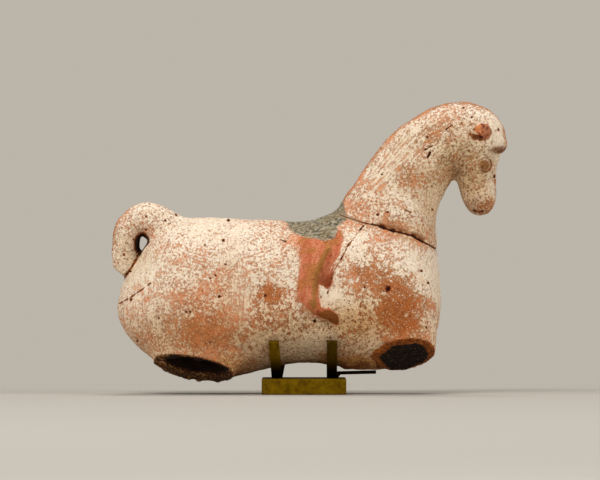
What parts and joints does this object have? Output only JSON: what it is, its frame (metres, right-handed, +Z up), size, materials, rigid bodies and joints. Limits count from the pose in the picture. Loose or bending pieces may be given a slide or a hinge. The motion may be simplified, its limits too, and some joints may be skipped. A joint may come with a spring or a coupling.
{
  "type": "horse figurine",
  "caption": "Broken terracotta horse, legs lost, with a lost rider's legs in relief, held low over a small brass cradle.",
  "frame": {"origin": "centre of the underside of the brass foot", "axes": "+X towards the horse's head, +Z up, +Y towards its left flank, the far side in the side view"},
  "size_m": [0.1499, 0.0552, 0.1111],
  "materials": {
    "clay": "matt fired clay with a worn white slip",
    "brass": "dark brown patinated bar"
  },
  "bodies": {
    "root": {"clay_horse": "clay", "foot_block": "brass", "near_rear_prong": "brass", "far_rear_prong": "brass", "near_front_prong": "brass", "far_front_prong": "brass", "breast_arm": "brass"}
  },
  "joints": []
}
